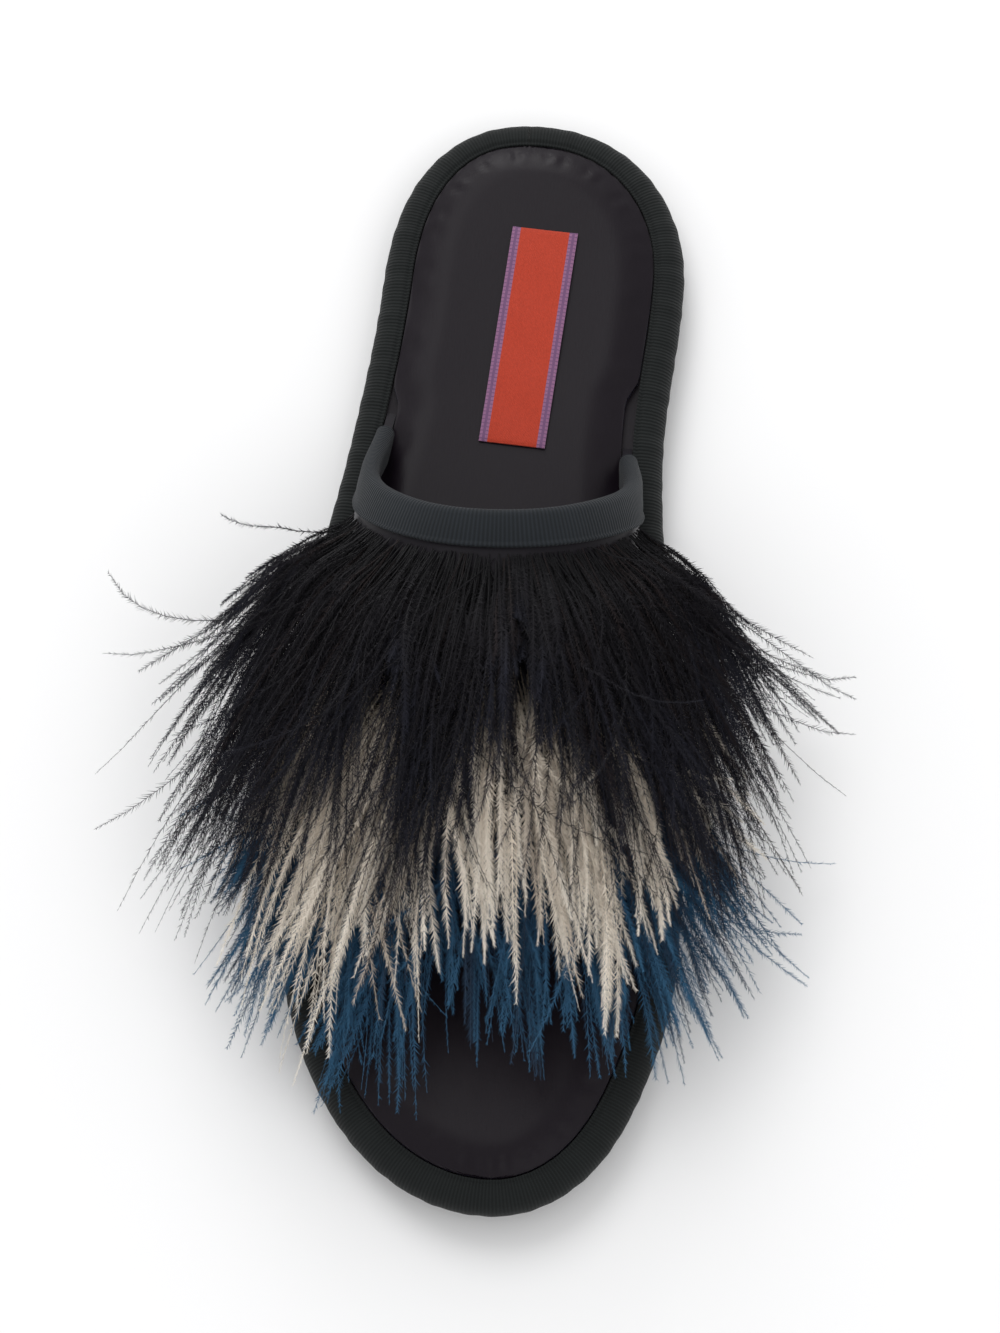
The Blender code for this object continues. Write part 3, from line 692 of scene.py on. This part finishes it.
fan = {
    "lateralReach": 87 * mm,
    "medialReach": 73 * mm,
    "lowest": 4 * mm,
    "droop": 1.5,
    "evenness": 0.8,
    "rootSpan": (0.17, 0.83),
    "setback": 1.2 * mm,
    "layerHeight": 5.3 * mm,
    "forwards": 0.38,  # share of its heading that a strand loses towards its tip
    "widest": radians(66),
    "climb": 0.35,  # the most a strand rises over its root, for its way from there
    "endPile": 0.4,  # the pile's height at the row's ends, for its height in the middle
}
fanShares = {"along": (0.25, 0.45, 0.60, 0.76, 0.94), "crest": (1.03, 1.01, 0.85, 0.66, 0.20)}
strand = {
    "points": 11,
    "quillRadius": 0.16 * mm,
    "barbuleWidth": 0.30 * mm,
    "lateralLimit": 90 * mm,  # no strand reaches further from the middle than this
    "medialLimit": 77 * mm,
}
# reach is a row's length in mm at nine even steps from its lateral to its medial end. An opening is a
# place on that scale, a width and the share by which the row is shorter there
featherRows = {
    "blue": {
        "material": blueFeather, "slot": "feathers_blue", "node": "feathers_blue", "seed": 11, "layer": 0,
        "root": 50 * mm, "rootBand": 12 * mm, "reach": (28, 46, 60, 60, 52, 56, 60, 50, 32),
        "openings": ((0.47, 0.03, 0.25), (0.60, 0.02, 0.30)), "fan": radians(45),
        "clumps": 55, "perClump": 11, "clumping": (0.35, 0.90), "strays": 0.06,
        "barbules": 250, "barbuleLength": 1.9 * mm, "pieces": ("blueFeathers",),
    },
    "cream": {
        "material": creamFeather, "slot": "feathers_cream", "node": "feathers_cream", "seed": 23, "layer": 1,
        "root": 22 * mm, "rootBand": 16 * mm, "reach": (22, 38, 68, 80, 66, 74, 54, 42, 28),
        "openings": ((0.47, 0.02, 0.25), (0.68, 0.03, 0.20)), "fan": radians(50),
        "clumps": 54, "perClump": 8, "clumping": (0.35, 0.92), "strays": 0.06,
        "barbules": 370, "barbuleLength": 2.2 * mm, "pieces": ("creamFeathers",),
    },
    "black": {
        "material": blackFeather, "slot": "feathers_black", "node": "feathers_black", "seed": 37, "layer": 2,
        "root": 0 * mm, "rootBand": 12 * mm, "reach": (36, 74, 92, 92, 86, 76, 80, 66, 38),
        "openings": ((0.345, 0.05, 0.60), (0.54, 0.05, 0.72)), "fan": radians(56),
        "clumps": 104, "perClump": 12, "clumping": (0.30, 0.90), "strays": 0.09,
        "barbules": 240, "barbuleLength": 1.9 * mm, "pieces": ("blackFeathersLateral", "blackFeathersMedial"),
    },
}


def vampTop(x, y):
    # The arch's height over each point, the highest of its points within a millimetre sideways
    near = 1 * mm
    v = np.linspace(0, 1, 241)
    distance = (sole["length"] / 2 - y)[..., None]
    arch = vampPoint(distance, v)
    there = (topline(v) - 3 * near < distance) & (distance < toeEdge(v) + 3 * near)
    over = there & (np.abs(arch[..., 0] - x[..., None]) < near)
    return np.where(over, arch[..., 2], -1.0).max(-1)


def soleTop(x, y):
    # The insole's height where a point lies over the sole, and the floor elsewhere
    share = np.clip(0.5 - y / sole["length"], 0, 1)
    inside = (x > -halfWidth("lateral", share) - 3 * mm) & (x < halfWidth("medial", share) + 3 * mm)
    padTop = sole["coreTop"] + sole["padThickness"] + gap + toeRise(y)
    return np.where(inside, padTop, 0.0)


def fanHeight(x, y):
    # A ridge over the middle of the shoe that falls away to both sides as a power of the distance
    share = 0.5 - y / sole["length"]
    crest = vamp["foot"] + vamp["instep"] * throughShares(fanShares, "crest", share)
    reach = np.where(x < 0, fan["lateralReach"], fan["medialReach"])
    return fan["lowest"] + (crest - fan["lowest"]) * (1 - np.clip(np.abs(x / reach), 0, 1) ** fan["droop"])


def flight(root, heading, turn, reach, t):
    # Even steps from the root whose heading turns steadily on the way: their sum is the path from above
    way = heading[:, None] + turn[:, None] * t
    middle = (way[:, 1:] + way[:, :-1]) / 2
    step = reach[:, None] / (len(t) - 1)
    zero = np.zeros((len(root), 1))
    x = root[:, :1] + np.concatenate([zero, np.cumsum(np.sin(middle) * step, 1)], 1)
    y = root[:, 1:2] - np.concatenate([zero, np.cumsum(np.cos(middle) * step, 1)], 1)
    return np.stack([x, y], -1)


def rootsAt(at, row, forward):
    # Where strands leave the vamp, for places along the row and distances in front of its first roots
    v = fan["rootSpan"][0] + (fan["rootSpan"][1] - fan["rootSpan"][0]) * at
    distance, v = besideEdge(topline, v, vamp["foldDepth"] + fan["setback"])
    distance = distance + row["root"] + forward
    return vampPoint(distance, v) + vampNormal(distance, v) * 0.3 * mm


def headingAt(at, row):
    side = 2 * at - 1
    return row["fan"] * np.sign(side) * np.abs(side) ** fan["evenness"]


def reachAt(at, row, openings=()):
    reach = np.interp(at, np.linspace(0, 1, len(row["reach"])), np.array(row["reach"]) * mm)
    for place, width, share in openings:
        reach = reach * (1 - share * np.exp(-(((at - place) / width) ** 2)))
    return reach


def strandCurves(row, rng):
    # Strands fan out from the vamp by their place in the row, and draw together into locks on their way
    clumps, per = row["clumps"], row["perClump"]
    count = clumps * per
    guideAt = (np.arange(clumps) + 0.5 + rng.uniform(-0.45, 0.45, clumps)) / clumps
    guideHeading = headingAt(guideAt, row) + rng.standard_normal(clumps) * radians(7)
    guideTurn = -fan["forwards"] * guideHeading + rng.standard_normal(clumps) * radians(18)
    guideReach = reachAt(guideAt, row, row["openings"]) * rng.uniform(0.82, 1.12, clumps)
    guideLift = rng.uniform(-1.6, 2.0, clumps) * mm
    clumping = rng.uniform(*row["clumping"], clumps)
    of = np.repeat(np.arange(clumps), per)
    stray = rng.random(count) < row["strays"]

    at = np.clip(guideAt[of] + rng.standard_normal(count) * 1.2 / clumps, 0, 1)
    root = rootsAt(at, row, row["rootBand"] * rng.random(count) ** 1.5)
    guideRoot = rootsAt(guideAt, row, row["rootBand"] * 0.4)[of]
    heading = headingAt(at, row) + rng.standard_normal(count) * np.where(stray, radians(18), radians(5))
    heading = np.clip(heading, -fan["widest"], fan["widest"])
    turn = -fan["forwards"] * heading + rng.standard_normal(count) * np.where(stray, radians(45), radians(12))
    reach = np.where(stray, reachAt(at, row), guideReach[of]) * (1 - 0.36 * rng.random(count) ** 1.5)
    t = np.linspace(0, 1, strand["points"])
    own = flight(root, heading, turn, reach, t)
    guide = flight(guideRoot, guideHeading[of], guideTurn[of], reach, t)
    held = np.where(stray, 0.0, clumping[of])[:, None] * smoothStep(0.1, 0.85, t)
    place = own * (1 - held[..., None]) + guide * held[..., None]
    splay = rng.standard_normal((count, 1, 2)) * 1.3 * mm * (t**2)[:, None]
    place = place + splay
    start = place[:, :1]
    limit = np.where(place[..., 0] < 0, strand["lateralLimit"], strand["medialLimit"])
    over = np.abs(place[..., 0] - start[..., 0]) / np.maximum(limit - np.abs(start[..., 0]), mm)
    held = 1 / np.maximum(over.max(1), 1)
    x, y = np.moveaxis(start + (place - start) * held[:, None, None], -1, 0)

    ground = vampTop(x, y)
    settled = smoothStep(0, 0.3, t)
    side = (2 * at - 1)[:, None]
    pile = fan["layerHeight"] * (row["layer"] + rng.random((count, 1)) ** 0.8)
    pile = pile * (1 - (1 - fan["endPile"]) * side**2)
    aim = np.maximum(fanHeight(x, y), ground + 1.5 * mm) + pile
    aim = np.minimum(aim, root[:, 2:] + fan["climb"] * reach[:, None] * t)
    z = root[:, 2:] * (1 - settled) + aim * settled
    lift = guideLift[of] + rng.standard_normal(count) * 0.8 * mm + stray * 2 * mm
    z += lift[:, None] * smoothStep(0.1, 0.7, t)
    z = np.maximum(z, ground + 0.5 * mm * smoothStep(0, 0.08, t))
    z = np.maximum(z, soleTop(x, y) + 1.2 * mm)
    which = np.clip(0.6 * rng.random(clumps)[of] + 0.4 * rng.random(count), 0, 1)
    return np.stack([x, y, z], -1), which, at


def strandMesh(name, paths, which, row, rng):
    # Each strand is a three-sided quill and two rows of barbules, thin triangles that lean towards its tip
    count, steps = paths.shape[:2]
    tangent = np.gradient(paths, axis=1)
    tangent /= np.linalg.norm(tangent, axis=-1, keepdims=True)
    side = np.cross(tangent, np.array([0.0, 0.0, 1.0]))
    side /= np.linalg.norm(side, axis=-1, keepdims=True) + 1e-9
    over = np.cross(side, tangent)
    t = np.linspace(0, 1, steps)
    radius = strand["quillRadius"] * (1 - 0.8 * t)[:, None, None]
    corner = (np.arange(3) / 3 * 2 * pi)[:, None]
    outward = side[:, :, None] * np.cos(corner) + over[:, :, None] * np.sin(corner)
    ringPoints = paths[:, :, None] + radius * outward
    quill = ringPoints.reshape(-1, 3)
    first = np.arange(count)[:, None, None] * steps * 3
    quads = (gridFaces(steps, 3, False, True)[None] + first).reshape(-1, 4)
    quillUv = np.stack([np.tile(np.repeat(t, 3), count), np.repeat(which, steps * 3)], -1)

    per = row["barbules"]
    at = 0.03 + 0.965 * (np.arange(per) + rng.random((count, per))) / per
    index = np.clip((at * (steps - 1)).astype(int), 0, steps - 2)
    part = (at * (steps - 1) - index)[..., None]
    rows = np.arange(count)[:, None]
    base = paths[rows, index] * (1 - part) + paths[rows, index + 1] * part
    along = tangent[rows, index] * (1 - part) + tangent[rows, index + 1] * part
    across, above = side[rows, index], over[rows, index]
    roll = rng.uniform(0, 2 * pi, (count, 1)) + at * rng.uniform(-4, 4, (count, 1))
    turn = roll + pi * (np.arange(per) % 2) + rng.standard_normal((count, per)) * 0.5
    lean = radians(48) - radians(16) * at + rng.standard_normal((count, per)) * 0.12
    outwards = across * np.cos(turn)[..., None] + above * np.sin(turn)[..., None]
    direction = along * np.cos(lean)[..., None] + outwards * np.sin(lean)[..., None]
    shape = (0.3 + 0.7 * smoothStep(0, 0.45, at)) * (1 - 0.55 * smoothStep(0.86, 1.0, at))
    fluff = rng.uniform(0.6, 1.25, (count, 1)) * rng.uniform(0.65, 1.2, (count, per))
    tips = base + direction * (row["barbuleLength"] * shape * fluff)[..., None]
    tips[..., 2] = np.maximum(tips[..., 2], 1.5 * mm)
    wide = along * strand["barbuleWidth"] / 2
    barbs = np.stack([base - wide, base + wide, tips], 2).reshape(-1, 3)
    barbFaces = np.arange(len(barbs)).reshape(-1, 3) + len(quill)
    barbUv = np.stack([np.repeat(at.ravel(), 3), np.repeat(np.repeat(which, per), 3)], -1)
    points, uv = np.concatenate([quill, barbs]), np.concatenate([quillUv, barbUv])
    return newMesh(name, points, [quads, barbFaces], uv, smooth=False, solids=1)


def makeFeatherRow(colour):
    row = featherRows[colour]
    rng = np.random.default_rng(row["seed"])
    paths, which, at = strandCurves(row, rng)
    parts = len(row["pieces"])
    mine = np.argsort(np.argsort(at)) * parts // len(at)
    for k, name in enumerate(row["pieces"]):
        obj = strandMesh(name, paths[mine == k], which[mine == k], row, rng)
        finishPiece(obj, row["material"], row["slot"], row["node"])
        print(name, "strands", int((mine == k).sum()), "faces", len(obj.data.polygons))


for colour in featherRows:
    makeFeatherRow(colour)
print("feathers made")


# The core stays as the frame has it, inside the ribbon
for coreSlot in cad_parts["core"].material_slots:
    coreSlot.material = satin


# Floor, light and camera

studio = {
    "floorTone": (0.90, 0.90, 0.905),
    "worldTone": (1.0, 1.0, 1.0),
    "worldStrength": 0.80,
    "keyPower": 9.0,
    "fillPower": 4.0,
    "heelPower": 7.0,
    "elevation": radians(68),
    "azimuth": radians(6.7),
    "roll": radians(-5.2),
    "distance": 1.35,
    "pixelsPerMetre": 4500.0,  # in the photograph's frame of 1000 by 1333
    "frameHeight": 1333.0,
    "aim": Vector((-0.002, -0.005, 0.012)),
}


def makeFloor():
    mesh = bpy.data.meshes.new("floor")
    far = 6.0
    mesh.from_pydata([(-far, -far, 0), (far, -far, 0), (far, far, 0), (-far, far, 0)], [], [(0, 1, 2, 3)])
    floor = bpy.data.objects.new("floor", mesh)
    bpy.context.scene.collection.objects.link(floor)
    finish = Finish("floorPaper", studio["floorTone"], 0.9, Specular_IOR_Level=0.1)
    floor.data.materials.append(finish.material)


def addLight(name, place, size, power):
    light = bpy.data.lights.new(name, "AREA")
    light.shape = "DISK"
    light.size = size
    light.energy = power
    obj = bpy.data.objects.new(name, light)
    bpy.context.scene.collection.objects.link(obj)
    obj.location = place
    obj.rotation_euler = (-Vector(place)).to_track_quat("-Z", "Y").to_euler()


def makeWorld():
    world = bpy.data.worlds.new("studio")
    bpy.context.scene.world = world
    world.use_nodes = True
    background = world.node_tree.nodes["Background"]
    background.inputs["Color"].default_value = (*studio["worldTone"], 1)
    background.inputs["Strength"].default_value = studio["worldStrength"]


def makeCamera():
    # Back along the viewing direction from the shoe's middle, with the lens that gives the photograph's scale
    camera = bpy.data.cameras.new("camera")
    obj = bpy.data.objects.new("camera", camera)
    bpy.context.scene.collection.objects.link(obj)
    a, e = studio["azimuth"], studio["elevation"]
    back = Vector((sin(a) * cos(e), -cos(a) * cos(e), sin(e)))
    turned = (-back).to_track_quat("-Z", "Y").to_matrix() @ Matrix.Rotation(studio["roll"], 3, "Z")
    obj.matrix_world = Matrix.Translation(studio["aim"] + back * studio["distance"]) @ turned.to_4x4()
    camera.sensor_width = 36.0
    camera.lens = studio["pixelsPerMetre"] * studio["distance"] / studio["frameHeight"] * camera.sensor_width
    camera.clip_end = 20.0
    bpy.context.scene.camera = obj


makeFloor()
makeWorld()
addLight("key", (-0.5, 0.9, 1.6), 1.2, studio["keyPower"])
addLight("fill", (0.9, -0.9, 1.5), 1.4, studio["fillPower"])
addLight("heel", (-0.25, 1.5, 0.75), 0.7, studio["heelPower"])
makeCamera()
bpy.context.scene.view_settings.view_transform = "Standard"
print("floor, light and camera set")
